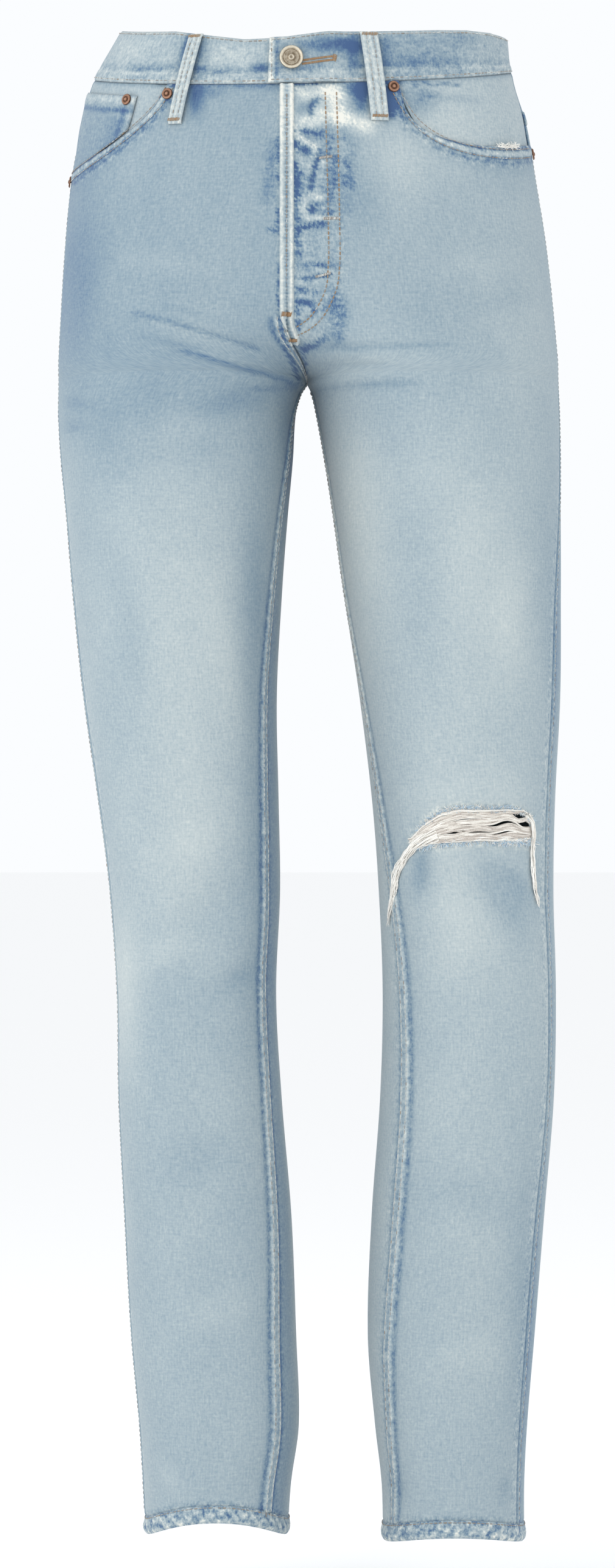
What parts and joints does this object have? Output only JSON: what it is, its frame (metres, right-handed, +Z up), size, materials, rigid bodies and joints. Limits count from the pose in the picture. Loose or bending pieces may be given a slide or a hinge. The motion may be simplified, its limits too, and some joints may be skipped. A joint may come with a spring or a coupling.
{
  "type": "ripped jeans",
  "caption": "High-rise straight-leg denim jeans in a light wash, button fly, ripped across one knee, in their hollow worn form.",
  "frame": {"origin": "middle of the waist opening, at the level of the button's upper edge", "axes": "+Z up through the waist, +Y to the wearer's back, +X to the wearer's left"},
  "size_m": [0.3381, 0.2404, 1.0227],
  "materials": {
    "denim": "light-washed cotton twill with soft fades, matte",
    "denim_worn_edge": "folded denim strips, rubbed pale on the edges",
    "thread": "cotton topstitching, tonal grey-beige to tan",
    "frayed_yarn": "loose off-white cotton yarn",
    "button_metal": "antique, worn, satin",
    "rivet_copper": "aged copper, satin"
  },
  "bodies": {
    "root": {"front_right": "denim", "front_left": "denim", "back_right": "denim", "back_left": "denim", "yoke_right": "denim", "yoke_left": "denim", "pocket_facing_right": "denim", "pocket_facing_left": "denim", "coin_pocket": "denim", "back_pocket_right": "denim", "back_pocket_left": "denim", "waistband": "denim", "hem_right": "denim", "hem_left": "denim", "fly_strip": "denim_worn_edge", "belt_loop_front_right": "denim_worn_edge", "belt_loop_front_left": "denim_worn_edge", "belt_loop_side_right": "denim_worn_edge", "belt_loop_side_left": "denim_worn_edge", "belt_loop_back": "denim_worn_edge", "button": "button_metal", "rivet_coin": "rivet_copper", "rivet_front_right": "rivet_copper", "rivet_front_left": "rivet_copper", "rivet_side_right": "rivet_copper", "rivet_side_left": "rivet_copper"}
  },
  "joints": []
}
